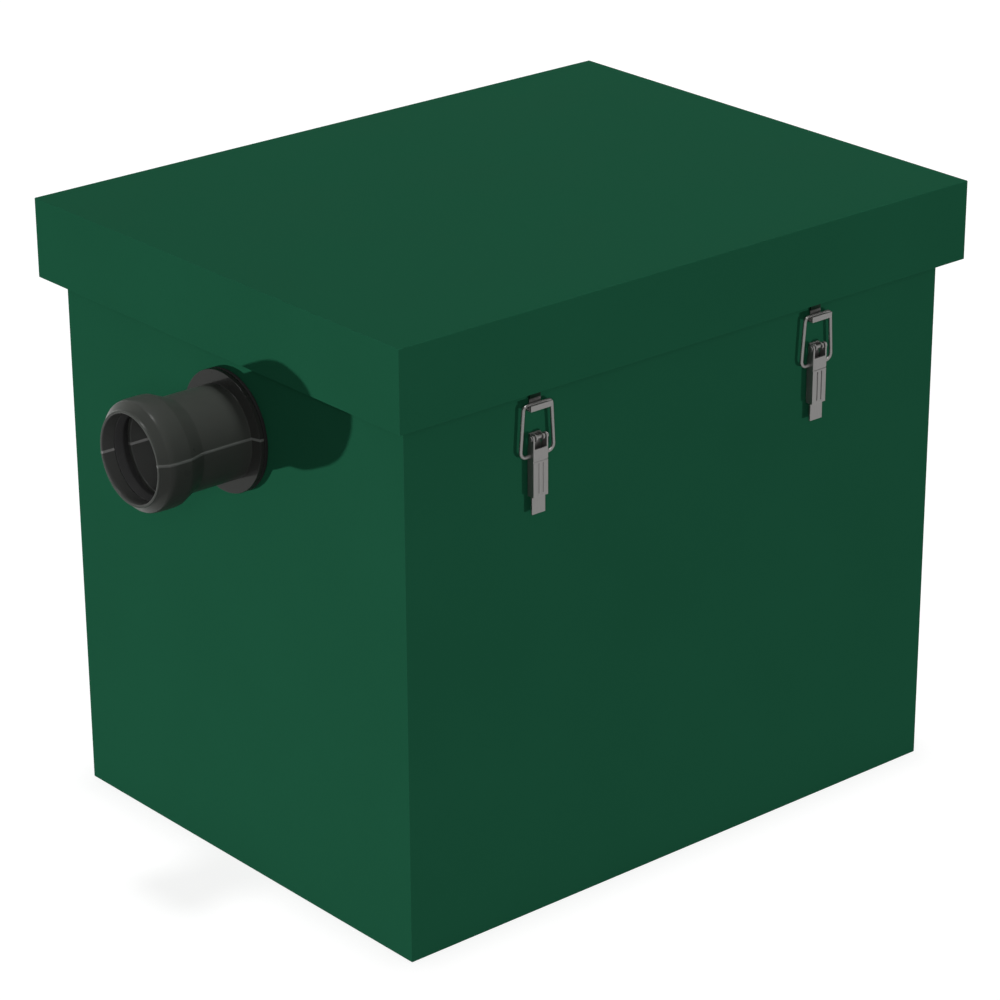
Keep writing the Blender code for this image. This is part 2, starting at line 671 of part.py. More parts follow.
def build_latches(steel):
    """Two latches on each long side. The lever turns on its pin, and the bail turns in the lever."""
    lever_shape = lever_mesh(steel)
    base_shape = base_mesh(steel)
    bail_shape = bail_mesh(steel)
    keeper_shape = keeper_mesh(steel)
    pin_shape = pin_mesh(steel)
    inwards = LEVER_PIVOT_OFF_WALL - BAIL_PIVOT_OFF_WALL
    to_keeper = (0, LEVER_PIVOT_OFF_WALL, BAR_HEIGHT - LEVER_PIVOT_HEIGHT)
    for side, facing in (("front", 0), ("rear", math.pi)):
        outwards = -1 if side == "front" else 1
        pin_y = outwards * (HALF_WIDTH + LEVER_PIVOT_OFF_WALL)
        for end, station in LATCH_STATIONS:
            name = side + "_" + end + "_latch"
            axis = bpy.data.objects.new(name + "_axis", None)
            bpy.context.collection.objects.link(axis)
            axis.location = (station, pin_y, LEVER_PIVOT_HEIGHT)
            axis.rotation_euler.z = facing
            place(name + "_base", base_shape, steel, parent=axis)
            smooth(place(name + "_pin", pin_shape, steel, parent=axis))
            lever = place(name + "_lever", lever_shape, steel, parent=axis)
            smooth(place(name + "_bail", bail_shape, steel, (0, inwards, -CRANK), lever), 60)
            place(name + "_keeper", keeper_shape, steel, to_keeper, axis)


def main():
    for thing in list(bpy.data.objects):
        bpy.data.objects.remove(thing)
    green_sheet = finish("green_plastic_sheet", linear(26, 80, 57), 0.55)
    black_plastic = finish("black_pipe_plastic", linear(45, 47, 44), 0.45)
    rubber = finish("seal_rubber", linear(22, 22, 22), 0.8)
    steel = finish("stainless_steel", linear(150, 150, 146), 0.35, 1.0)
    build_tank(green_sheet)
    build_rim(green_sheet)
    build_inner_plates(green_sheet)
    build_lid(green_sheet, rubber)
    build_pipe_fittings(black_plastic, rubber)
    build_latches(steel)


main()
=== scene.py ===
import math

import bmesh
import bpy
from mathutils import Matrix, Vector


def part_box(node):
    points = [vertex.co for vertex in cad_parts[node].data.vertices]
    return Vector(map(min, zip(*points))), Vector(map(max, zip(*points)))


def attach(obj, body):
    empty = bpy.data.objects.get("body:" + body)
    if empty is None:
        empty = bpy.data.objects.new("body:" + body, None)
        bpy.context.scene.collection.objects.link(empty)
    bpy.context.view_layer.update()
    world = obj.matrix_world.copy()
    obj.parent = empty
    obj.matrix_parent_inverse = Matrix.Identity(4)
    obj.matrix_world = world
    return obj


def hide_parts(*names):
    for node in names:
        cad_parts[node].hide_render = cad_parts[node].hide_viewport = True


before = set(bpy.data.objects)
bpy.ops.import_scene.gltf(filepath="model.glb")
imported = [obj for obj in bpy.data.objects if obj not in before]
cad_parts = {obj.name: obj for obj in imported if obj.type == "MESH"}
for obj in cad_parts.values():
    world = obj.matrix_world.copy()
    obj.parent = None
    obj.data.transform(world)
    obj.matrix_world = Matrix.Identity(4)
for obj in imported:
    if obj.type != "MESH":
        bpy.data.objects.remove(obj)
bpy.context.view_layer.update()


# Camera
# The photograph's camera, solved from the edges of the tank and the lid. It stands to the left of the
# front corner and a little above the lid, with a long lens.
PICTURE_SIDE = 1000
FOCAL_LENGTH_PX = 3823.4
PICTURE_CENTRE_PX = (546.29, 643.36)
SENSOR_WIDTH = 36.0
CAMERA_PLACE = Vector((-1.36147, -1.59305, 1.04946))
CAMERA_FORWARD = Vector((0.59767, 0.68322, -0.41952))
CAMERA_RIGHT = Vector((0.75271, -0.65835, 0.00017))

camera_up = CAMERA_RIGHT.cross(CAMERA_FORWARD)
bpy.ops.object.select_all(action="DESELECT")
bpy.ops.object.camera_add(location=CAMERA_PLACE)
camera = bpy.context.object
camera.rotation_euler = Matrix((CAMERA_RIGHT, camera_up, -CAMERA_FORWARD)).transposed().to_euler()
camera.data.sensor_width = SENSOR_WIDTH
camera.data.lens = FOCAL_LENGTH_PX / PICTURE_SIDE * SENSOR_WIDTH
camera.data.shift_x = 0.5 - PICTURE_CENTRE_PX[0] / PICTURE_SIDE
camera.data.shift_y = PICTURE_CENTRE_PX[1] / PICTURE_SIDE - 0.5
bpy.context.scene.camera = camera


# Floor and light
# A pale studio floor with a white surround. One light hangs over the lid, two stand low at left and right
# and shine a little upwards, as the shadows show, and a weak one stands by the camera. Two glints light
# nothing and only mirror in gloss.
FLOOR_SIZE = 12.0
FLOOR_BELOW = 0.0002
FLOOR_COLOUR = (0.25, 0.25, 0.25, 1.0)
FLOOR_LIFT = 0.85
SURROUND_STRENGTH = 0.12
WHITE = (1.0, 1.0, 1.0, 1.0)
LAMPS = (
    ("lamp_over_lid", (0.0, 0.0, -1.0), 2.03, 8),
    ("lamp_low_left", (1.0, -1.22, 0.56), 3.42, 1.2),
    ("lamp_low_right", (-0.55, 1.0, 0.30), 1.35, 1.2),
    ("lamp_by_camera", (0.62, 0.70, -0.34), 0.85, 20),
)
GLINTS = (
    ("glint_left", (0.597, -0.729, 0.335), 0.03, 3),
    ("glint_over_lid", (0.0, 0.0, -1.0), 2.0, 6),
)


def wired(nodes, links, kind, inputs, **settings):
    """A node with its settings, each of its inputs given a plain value or another node's output."""
    node = nodes.new(kind)
    for name, value in settings.items():
        setattr(node, name, value)
    for socket, value in inputs.items():
        if isinstance(value, bpy.types.NodeSocket):
            links.new(value, node.inputs[socket])
        else:
            node.inputs[socket].default_value = value
    return node


def product(nodes, links, first, second):
    """One value times another."""
    return wired(nodes, links, "ShaderNodeMath", {0: first, 1: second}, operation="MULTIPLY").outputs[0]


def seen_directly(nodes, links):
    """A mask that is 1 for rays from the camera and for those that a mirror or glass passes on."""
    path = nodes.new("ShaderNodeLightPath")
    mask = path.outputs["Is Camera Ray"]
    for ray in ("Is Glossy Ray", "Is Transmission Ray"):
        inputs = {0: mask, 1: path.outputs[ray]}
        mask = wired(nodes, links, "ShaderNodeMath", inputs, operation="MAXIMUM").outputs[0]
    return mask


def studio_floor_material():
    """Matt, and lifted to white where it is seen, so that only the soft shadow shows."""
    material = bpy.data.materials.new("studio_floor")
    material.use_nodes = True
    nodes, links = material.node_tree.nodes, material.node_tree.links
    nodes.clear()
    paint = wired(nodes, links, "ShaderNodeBsdfDiffuse", {"Color": FLOOR_COLOUR})
    lift = product(nodes, links, seen_directly(nodes, links), FLOOR_LIFT)
    glow = wired(nodes, links, "ShaderNodeEmission", {"Color": WHITE, "Strength": lift})
    both = wired(nodes, links, "ShaderNodeAddShader", {0: paint.outputs[0], 1: glow.outputs[0]})
    wired(nodes, links, "ShaderNodeOutputMaterial", {"Surface": both.outputs[0]})
    return material


def white_surround():
    """A white world where it is seen, and a weaker even light on the object."""
    world = bpy.data.worlds.new("white_surround")
    bpy.context.scene.world = world
    world.use_nodes = True
    nodes, links = world.node_tree.nodes, world.node_tree.links
    nodes.clear()
    inputs = {"Value": seen_directly(nodes, links), "To Min": SURROUND_STRENGTH, "To Max": 1.0}
    strength = wired(nodes, links, "ShaderNodeMapRange", inputs).outputs["Result"]
    sky = wired(nodes, links, "ShaderNodeBackground", {"Color": WHITE, "Strength": strength})
    wired(nodes, links, "ShaderNodeOutputWorld", {"Surface": sky.outputs[0]})


def studio_lamp(name, travels, strength, softness):
    """An even lamp whose light travels along a direction, unseen in gloss. Softness is in degrees."""
    bpy.ops.object.light_add(type="SUN")
    lamp = bpy.context.object
    lamp.name = name
    lamp.rotation_euler = Vector(travels).to_track_quat("-Z", "Y").to_euler()
    lamp.data.energy = strength
    lamp.data.angle = math.radians(softness)
    lamp.visible_glossy = False
    return lamp


def studio_glint(name, travels, strength, softness):
    """A lamp that lights nothing and only glints in gloss."""
    lamp = studio_lamp(name, travels, strength, softness)
    lamp.visible_glossy = True
    lamp.visible_diffuse = False
    lamp.data.use_shadow = False
    return lamp


bpy.ops.object.select_all(action="DESELECT")
bpy.ops.mesh.primitive_plane_add(size=FLOOR_SIZE, location=(0, 0, -FLOOR_BELOW))
floor = bpy.context.object
floor.name = "studio_floor"
floor.data.materials.append(studio_floor_material())
floor.visible_shadow = False
white_surround()
for lamp in LAMPS:
    studio_lamp(*lamp)
for glint in GLINTS:
    studio_glint(*glint)


# Tank
# The real tank is welded from 5 mm polypropylene sheet: a floor, four walls and a strip round the mouth.
# Its outside corners are planed flush after welding, so no seam shows there. One piece stands for the
# floor and the walls.
SHEET = 0.005
EDGE_ROUNDING = 0.0004
CORNER_ANGLE = 35
FACING = 0.9
WALL_HOLE_SIDES = 96
WALL_HOLE_RADIUS = 0.0281
DRILL_LENGTH = 4 * SHEET
PIPE_ENDS = ("inlet", "outlet")
NOISE_LOW = 0.3
NOISE_HIGH = 0.7
EDGE_STARTS = 0.999
EDGE_FULL = 0.93
# Where the mixing node keeps its two colours and its mixed colour
MIX_FIRST, MIX_SECOND, MIX_RESULT = 6, 7, 2
GREEN = (0.0108, 0.0800, 0.0412, 1.0)
GREEN_DARK = (0.0102, 0.0765, 0.0392, 1.0)
GREEN_WORN = (0.0170, 0.0980, 0.0560, 1.0)
GREEN_ROUGHNESS = (0.60, 0.68)
GREEN_GRAIN = 0.00010
GREEN_SPECULAR = 0.003


def effect_group(name, inputs, outputs):
    """An empty node group with named sockets. Inputs are (type, name, value) and outputs (type, name)."""
    group = bpy.data.node_groups.new(name, "ShaderNodeTree")
    for kind, label, value in inputs:
        socket = group.interface.new_socket(label, in_out="INPUT", socket_type="NodeSocket" + kind)
        socket.default_value = value
    for kind, label in outputs:
        group.interface.new_socket(label, in_out="OUTPUT", socket_type="NodeSocket" + kind)
    return group, group.nodes.new("NodeGroupInput"), group.nodes.new("NodeGroupOutput")


def noise(nodes, links, place, scale, detail):
    """Cloudy noise at a place, with about as many clouds to the metre as the scale says."""
    inputs = {"Vector": place, "Scale": scale, "Detail": detail}
    return wired(nodes, links, "ShaderNodeTexNoise", inputs).outputs["Fac"]


def uneven_surface_group():
    """Slow clouds of tone and a fine grain of height, as an extruded or moulded skin has."""
    group, given, made = effect_group(
        "uneven_surface",
        [
            ("Float", "Cloud Scale", 18.0),
            ("Float", "Grain Scale", 900.0),
            ("Float", "Grain Height", 0.3),
            ("Vector", "Stretch", (1.0, 1.0, 1.0)),
        ],
        [("Float", "Cloud"), ("Float", "Grain"), ("Float", "Height")],
    )
    nodes, links = group.nodes, group.links
    place = nodes.new("ShaderNodeTexCoord").outputs["Object"]
    inputs = {0: place, 1: given.outputs["Stretch"]}
    stretched = wired(nodes, links, "ShaderNodeVectorMath", inputs, operation="MULTIPLY").outputs[0]
    cloud = noise(nodes, links, stretched, given.outputs["Cloud Scale"], 3.0)
    grain = noise(nodes, links, stretched, given.outputs["Grain Scale"], 2.0)
    links.new(cloud, made.inputs["Cloud"])
    links.new(grain, made.inputs["Grain"])
    links.new(product(nodes, links, grain, given.outputs["Grain Height"]), made.inputs["Height"])
    return group


def edge_wear_and_highlight_group():
    """A mask along edges and corners, broken up by noise, for worn edges and for highlights painted along
    edges.
    """
    group, given, made = effect_group(
        "edge_wear_and_highlight",
        [("Float", "Width", 0.0012), ("Float", "Amount", 0.5), ("Float", "Break Scale", 160.0)],
        [("Float", "Mask")],
    )
    nodes, links = group.nodes, group.links
    flat = nodes.new("ShaderNodeNewGeometry")
    rounded = wired(nodes, links, "ShaderNodeBevel", {"Radius": given.outputs["Width"]}, samples=6)
    inputs = {0: flat.outputs["Normal"], 1: rounded.outputs["Normal"]}
    same = wired(nodes, links, "ShaderNodeVectorMath", inputs, operation="DOT_PRODUCT").outputs["Value"]
    inputs = {"Value": same, "From Min": EDGE_STARTS, "From Max": EDGE_FULL}
    edge = wired(nodes, links, "ShaderNodeMapRange", inputs).outputs["Result"]
    place = nodes.new("ShaderNodeTexCoord").outputs["Object"]
    patches = noise(nodes, links, place, given.outputs["Break Scale"], 4.0)
    broken = product(nodes, links, edge, patches)
    links.new(product(nodes, links, broken, given.outputs["Amount"]), made.inputs["Mask"])
    return group


uneven_surface = uneven_surface_group()
edge_wear_and_highlight = edge_wear_and_highlight_group()


def placed_group(nodes, group, **values):
    """A node that runs one of the effect groups with its own values."""
    node = nodes.new("ShaderNodeGroup")
    node.node_tree = group
    for label, value in values.items():
        node.inputs[label.replace("_", " ")].default_value = value
    return node


def blended(nodes, links, mask, first, second):
    """A colour that goes from first to second as the mask goes from 0 to 1."""
    inputs = {"Factor": mask, MIX_FIRST: first, MIX_SECOND: second}
    return wired(nodes, links, "ShaderNodeMix", inputs, data_type="RGBA").outputs[MIX_RESULT]


def ranged(nodes, links, value, low, high, from_low=NOISE_LOW, from_high=NOISE_HIGH):
    """A value carried to another range, from the range that noise fills unless another is given."""
    inputs = {"Value": value, "From Min": from_low, "From Max": from_high, "To Min": low, "To Max": high}
    return wired(nodes, links, "ShaderNodeMapRange", inputs).outputs["Result"]


def bumped(nodes, links, height, depth):
    """A normal from a height, whose full range is as deep as the depth says."""
    return wired(nodes, links, "ShaderNodeBump", {"Height": height, "Distance": depth}).outputs["Normal"]


def new_finish(name):
    """A new material with its nodes, its links and its shader."""
    material = bpy.data.materials.new(name)
    material.use_nodes = True
    nodes, links = material.node_tree.nodes, material.node_tree.links
    return material, nodes, links, nodes["Principled BSDF"]


def green_sheet_material():
    """Matt through-coloured sheet with the faint clouds and fine skin of extrusion."""
    material, nodes, links, shader = new_finish("green_sheet")
    skin = placed_group(nodes, uneven_surface, Cloud_Scale=14.0, Grain_Scale=700.0, Grain_Height=0.5)
    wear_and_highlight = placed_group(nodes, edge_wear_and_highlight, Width=0.0010, Amount=0.35, Break_Scale=220.0)
    tone = ranged(nodes, links, skin.outputs["Cloud"], 0.0, 1.0)
    colour = blended(nodes, links, tone, GREEN_DARK, GREEN)
    colour = blended(nodes, links, wear_and_highlight.outputs["Mask"], colour, GREEN_WORN)
    links.new(colour, shader.inputs["Base Color"])
    links.new(ranged(nodes, links, skin.outputs["Cloud"], *GREEN_ROUGHNESS), shader.inputs["Roughness"])
    links.new(bumped(nodes, links, skin.outputs["Height"], GREEN_GRAIN), shader.inputs["Normal"])
    shader.inputs["Specular IOR Level"].default_value = GREEN_SPECULAR
    return material


green_sheet = green_sheet_material()


def dress(piece, name, material, body, slot, *nodes):
    """Names a finished piece, gives it its material, ties it to its body, and hides the CAD nodes that it
    stands for.
    """
    piece.name = name
    piece.data.name = name
    piece.data.materials.clear()
    piece.data.materials.append(material)
    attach(piece, body)
    if nodes:
        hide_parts(*nodes)
    return piece


def pick_piece(piece):
    """Selects one piece alone and makes it the one that operators work on."""
    bpy.ops.object.select_all(action="DESELECT")
    piece.select_set(True)
    bpy.context.view_layer.objects.active = piece


def at_origin():
    """The piece just added, with its place, turn and size moved into its mesh."""
    bpy.ops.object.transform_apply(location=True, rotation=True, scale=True)
    return bpy.context.object


def box_start(low, high):
    """A box between two corners, as the start of a piece."""
    bpy.ops.object.select_all(action="DESELECT")
    bpy.ops.mesh.primitive_cube_add(size=1, location=(Vector(low) + Vector(high)) / 2)
    bpy.context.object.scale = Vector(high) - Vector(low)
    return at_origin()


def pick_faces(piece, test):
    """In edit mode, selects only the faces that pass a test of their centre and normal."""
    mesh = bmesh.from_edit_mesh(piece.data)
    bpy.ops.mesh.select_all(action="DESELECT")
    mesh.faces.ensure_lookup_table()
    for face in mesh.faces:
        face.select_set(test(face.calc_center_median(), face.normal))
    mesh.select_flush_mode()
    bmesh.update_edit_mesh(piece.data)


def apply_modifier(piece, kind, **settings):
    """Adds a modifier to a piece and applies it."""
    pick_piece(piece)
    modifier = piece.modifiers.new(kind.lower(), kind)
    for name, value in settings.items():
        setattr(modifier, name, value)
    bpy.ops.object.modifier_apply(modifier=modifier.name)


def settle_shading(piece, angle):
    """Smooths the selected piece's rounded parts and keeps its large faces flat in the shading."""
    bpy.ops.object.shade_smooth_by_angle(angle=math.radians(angle))
    apply_modifier(piece, "WEIGHTED_NORMAL", keep_sharp=True)


def soften_edges(piece, width, segments=2, angle=CORNER_ANGLE):
    """Rounds the sharp edges of a piece a little."""
    apply_modifier(
        piece, "BEVEL", width=width, segments=segments, limit_method="ANGLE",
        angle_limit=math.radians(angle),
    )
    settle_shading(piece, angle)


def drill(piece, centre, radius, sides):
    """Cuts a round hole along X through a piece."""
    bpy.ops.object.select_all(action="DESELECT")
    bpy.ops.mesh.primitive_cylinder_add(
        vertices=sides, radius=radius, depth=DRILL_LENGTH, location=centre, rotation=(0, math.pi / 2, 0)
    )
    cutter = bpy.context.object
    apply_modifier(piece, "BOOLEAN", operation="DIFFERENCE", object=cutter, solver="EXACT")
    bpy.data.objects.remove(cutter)


def hollow_box(low, high, wall, mouth_up):
    """A box opened at its top or bottom, with its walls and its closed side one sheet thick."""
    piece = box_start(low, high)
    facing = 1 if mouth_up else -1
    bpy.ops.object.mode_set(mode="EDIT")
    pick_faces(piece, lambda centre, normal: normal.z * facing > FACING)
    bpy.ops.mesh.inset(thickness=wall, depth=0)
    depth = high[2] - low[2] - wall
    bpy.ops.mesh.extrude_region_move(TRANSFORM_OT_translate={"value": (0, 0, -facing * depth)})
    bpy.ops.object.mode_set(mode="OBJECT")
    return piece


def pipe_axis(end):
    """Where the axis of a pipe socket crosses its wall, and which way it points out."""
    low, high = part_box(end + "_socket")
    wall_low, wall_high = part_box(end + "_wall")
    side = 1 if wall_low.x > 0 else -1
    face = wall_high.x if side > 0 else wall_low.x
    return Vector((face, (low.y + high.y) / 2, (low.z + high.z) / 2)), side


tank_low = Vector((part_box("inlet_wall")[0].x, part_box("front_wall")[0].y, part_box("floor_plate")[0].z))
tank_high = Vector((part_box("outlet_wall")[1].x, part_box("rear_wall")[1].y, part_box("front_wall")[1].z))
tank_shell = hollow_box(tank_low, tank_high, SHEET, mouth_up=True)
for end in PIPE_ENDS:
    centre, side = pipe_axis(end)
    drill(tank_shell, centre, WALL_HOLE_RADIUS, WALL_HOLE_SIDES)
soften_edges(tank_shell, EDGE_ROUNDING)
dress(
    tank_shell, "tank_shell", green_sheet, "tank", "green_sheet",
    "floor_plate", "front_wall", "rear_wall", "inlet_wall", "outlet_wall",
)


# Rim and inner plates
# Strips of the same sheet welded round the mouth, with a gap where each keeper passes, a baffle that
# hangs across the tank and a weir before the outlet. They are cut square and welded to the walls.
PLATE_NAMES = ("front_rim", "rear_rim", "inlet_rim", "outlet_rim", "hanging_baffle", "outlet_weir")
MERGE_DISTANCE = 0.00001
FLAT_WITHIN = 1


def copy_of_node(name):
    """A copy of a CAD node's mesh with its corners merged and its flat faces made whole."""
    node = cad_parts[name]
    piece = bpy.data.objects.new(name + "_copy", node.data.copy())
    bpy.context.collection.objects.link(piece)
    pick_piece(piece)
    bpy.ops.object.mode_set(mode="EDIT")
    bpy.ops.mesh.select_all(action="SELECT")
    bpy.ops.mesh.remove_doubles(threshold=MERGE_DISTANCE)
    bpy.ops.mesh.dissolve_limited(angle_limit=math.radians(FLAT_WITHIN))
    bpy.ops.object.mode_set(mode="OBJECT")
    return piece


for name in PLATE_NAMES:
    plate = copy_of_node(name)
    soften_edges(plate, EDGE_ROUNDING)
    dress(plate, name + "_sheet", green_sheet, "tank", "green_sheet", name)


# Weld seams
# The sheets are joined with a 4 mm welding rod of the same plastic, run along the inside corners with hot
# gas and pressed flat by hand, so that the seam is a low bead with an uneven skin.
ROD_RADIUS = 0.0020
ROD_SIDES = 16
ROD_STEPS = 40
ROD_WAVE = 0.00022
ROD_PUSHES = ((1180, 1.0, 0.0), (2310, 0.6, 1.3))
SEAM_SINK = 0.0007
ROUND_WITHIN = 50


def wave_of(place):
    """How far the seam swells at a place along it, as the hand moves on in long and short pushes."""
    return ROD_WAVE * sum(share * math.sin(place * turn + start) for turn, share, start in ROD_PUSHES)


def weld_seam(name, start, end, towards):
    """A rod from start to end in a corner. Towards points out of the corner, away from both sheets."""
    lift = Vector(towards).normalized() * SEAM_SINK
    start, end = Vector(start) + lift, Vector(end) + lift
    push = (end - start) / ROD_STEPS
    bpy.ops.object.select_all(action="DESELECT")
    bpy.ops.mesh.primitive_circle_add(
        vertices=ROD_SIDES, radius=ROD_RADIUS, fill_type="NGON", location=start,
        rotation=push.to_track_quat("Z", "Y").to_euler(),
    )
    seam = at_origin()
    bpy.ops.object.mode_set(mode="EDIT")
    bpy.ops.mesh.select_all(action="SELECT")
    before = ROD_RADIUS
    for step in range(1, ROD_STEPS + 1):
        here = start + push * step
        after = ROD_RADIUS + wave_of((here - start).length)
        bpy.ops.mesh.extrude_region_move(TRANSFORM_OT_translate={"value": push})
        grow = after / before
        bpy.ops.transform.resize(value=(grow, grow, grow), center_override=here)
        before = after
    bpy.ops.mesh.select_all(action="SELECT")
    bpy.ops.mesh.normals_make_consistent(inside=False)
    bpy.ops.object.mode_set(mode="OBJECT")
    bpy.ops.object.shade_smooth_by_angle(angle=math.radians(ROUND_WITHIN))
    dress(seam, name, green_sheet, "tank", "green_sheet")


inside_low = tank_low + Vector((SHEET, SHEET, SHEET))
inside_high = tank_high - Vector((SHEET, SHEET, 0))
x_ends = ((inside_low.x, 1, "inlet"), (inside_high.x, -1, "outlet"))
y_sides = ((inside_low.y, 1, "front"), (inside_high.y, -1, "rear"))
for x, into_x, end in x_ends:
    for y, into_y, side in y_sides:
        top = inside_high.z - SHEET
        weld_seam("corner_seam_" + side + "_" + end, (x, y, inside_low.z), (x, y, top), (into_x, into_y, 0))
for y, into_y, side in y_sides:
    ends = (inside_low.x, y, inside_low.z), (inside_high.x, y, inside_low.z)
    weld_seam("floor_seam_" + side, *ends, (0, into_y, 1))
for x, into_x, end in x_ends:
    ends = (x, inside_low.y, inside_low.z), (x, inside_high.y, inside_low.z)
    weld_seam("floor_seam_" + end, *ends, (into_x, 0, 1))
for plate_name in ("hanging_baffle", "outlet_weir"):
    low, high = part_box(plate_name)
    for y, into_y, side in y_sides:
        ends = (high.x, y, low.z + SHEET), (high.x, y, high.z - SHEET)
        weld_seam(plate_name + "_seam_" + side, *ends, (1, into_y, 0))
for name, out in (("front_rim", -1), ("rear_rim", 1)):
    low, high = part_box(name)
    wall = tank_low.y if out < 0 else tank_high.y
    weld_seam(name + "_seam", (low.x, wall, low.z), (high.x, wall, low.z), (0, out, -1))
for name, out in (("inlet_rim", -1), ("outlet_rim", 1)):
    low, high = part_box(name)
    wall = tank_low.x if out < 0 else tank_high.x
    weld_seam(name + "_seam", (wall, tank_low.y, low.z), (wall, tank_high.y, low.z), (out, 0, -1))


# Pipe sockets
# Each is a push-fit socket for 50 mm waste pipe, moulded in black plastic: a flange on the wall, a bead
# with a groove for the lip seal, and a spigot through the wall. It is turned here from a ring of points.
# A section gives steps along the axis, as distance out from the wall and radius.
PIPE_SIDES = 96
NOSE_SECTION = ((0.0677, 0.02720), (0.0665, 0.02740))
SHOULDER_CENTRE = (0.0582, 0.0306)
SHOULDER_LENGTH = 0.0052
SHOULDER_HEIGHT = 0.0014
SHOULDER_STEPS = 5
BODY_SECTION = (
    (0.0496, 0.03200),
    (0.0478, 0.03175),
    (0.0390, 0.02790),
    (0.0370, 0.02750),
    (0.0053, 0.02750),
    (0.0053, 0.03540),
    (0.0026, 0.03540),
    (0.0026, 0.02750),
    (-0.0060, 0.02750),
)
SPIGOT_END = -0.0203
THREAD_PITCH = 0.0024
THREAD_DEPTH = 0.0005
BORE_SECTION = (
    (SPIGOT_END, 0.02300),
    (0.0160, 0.02300),
    (0.0160, 0.02530),
    (0.0487, 0.02530),
    (0.0487, 0.02970),
    (0.0597, 0.02970),
    (0.0597, 0.02530),
    (0.0669, 0.02550),
    (0.0677, 0.02580),
)
SEAL_SECTION = (
    (0.0594, 0.0294),
    (0.0490, 0.0294),
    (0.0490, 0.02735),
    (0.0542, 0.0244),
    (0.0555, 0.0244),
    (0.0594, 0.0253),
)
WASHER_SECTION = ((0.0003, 0.0281), (0.0003, 0.0354), (0.0023, 0.0354), (0.0023, 0.0281))
PIPE_ROUNDING = 0.0004
PIPE_CORNER_ANGLE = 25
BLACK_PIPE = (0.0485, 0.0520, 0.0470, 1.0)
BLACK_PIPE_DARK = (0.0450, 0.0485, 0.0440, 1.0)
# Pale, for the parting line and for the highlight painted along the pipe's edges
BLACK_PIPE_PALE_AND_HIGHLIGHT = (0.1250, 0.1310, 0.1240, 1.0)
BLACK_PIPE_ROUGHNESS = (0.27, 0.33)
BLACK_PIPE_GRAIN = 0.00002
BLACK_PIPE_SPECULAR = 0.06
FLANGE_BLACK = (0.0270, 0.0280, 0.0262, 1.0)
FLANGE_BLACK_ENDS = 0.0054
# Painted light: the bore is painted greyer, standing for the light that reaches into the mouth
BORE_PAINTED_LIGHT = (0.0820, 0.0840, 0.0810, 1.0)
BORE_PAINTED_LIGHT_ENDS = 0.0259
BORE_LINE = (0.3000, 0.3000, 0.2950, 1.0)
ZONE_FADE = 0.0003
PARTING_TILT = math.radians(8)
PARTING_ACROSS = Vector((0, math.sin(PARTING_TILT), math.cos(PARTING_TILT)))
PARTING_WIDTH = 0.0015
PARTING_FADE = (0.0006, 0.0009)
PARTING_RISE = 0.00016
PARTING_SLOPE = 0.00012
PARTING_STARTS = 0.0028
# Each rubber's dark and light tone, then a third tone painted along its edges as a highlight
SEAL_TONES = ((0.0470, 0.0470, 0.0475, 1.0), (0.0550, 0.0550, 0.0555, 1.0), (0.1200, 0.1200, 0.1200, 1.0))
WASHER_TONES = (
    (0.0120, 0.0120, 0.0122, 1.0),
    (0.0150, 0.0150, 0.0152, 1.0),
    (0.0240, 0.0240, 0.0240, 1.0),
)
RUBBER_ROUGHNESS = (0.72, 0.86)
RUBBER_GRAIN = 0.00006
RUBBER_SPECULAR = 0.15


def turned_piece(section, centre, side):
    """Draws a ring of points through each step of a section, as on a lathe, and joins last to first."""
    place, radius = section[0]
    bpy.ops.object.select_all(action="DESELECT")
    bpy.ops.mesh.primitive_circle_add(
        vertices=PIPE_SIDES, radius=radius, location=centre + Vector((side * place, 0, 0)),
        rotation=(0, math.pi / 2, 0),
    )
    piece = at_origin()
    bpy.ops.object.mode_set(mode="EDIT")
    bpy.ops.mesh.select_all(action="SELECT")
    for (start, before), (end, after) in zip(section, section[1:] + section[:1]):
        step = (side * (end - start), 0, 0)
        bpy.ops.mesh.extrude_region_move(TRANSFORM_OT_translate={"value": step})
        grow = after / before
        bpy.ops.transform.resize(value=(1, grow, grow), center_override=centre)
    bpy.ops.mesh.select_all(action="SELECT")
    bpy.ops.mesh.remove_doubles(threshold=MERGE_DISTANCE)
    bpy.ops.mesh.normals_make_consistent(inside=False)
    bpy.ops.object.mode_set(mode="OBJECT")
    return piece


def bead_shoulder():
    """The rounding from the mouth's slope to the top of the bead, as steps of the section."""
    place, radius = SHOULDER_CENTRE
    turns = [math.pi / 2 * step / SHOULDER_STEPS for step in range(SHOULDER_STEPS + 1)]
    return tuple(
        (place + SHOULDER_LENGTH * math.cos(turn), radius + SHOULDER_HEIGHT * math.sin(turn))
        for turn in turns
    )


def threaded_spigot():
    """The rings of the thread, from the wall to the spigot's end, as steps of the section."""
    steps = []
    place, crest = BODY_SECTION[-1]
    while place - THREAD_PITCH > SPIGOT_END:
        steps.append((place - THREAD_PITCH / 2, crest - THREAD_DEPTH))
        steps.append((place - THREAD_PITCH, crest))
        place -= THREAD_PITCH
    steps.append((SPIGOT_END, crest - THREAD_DEPTH))
    return tuple(steps)


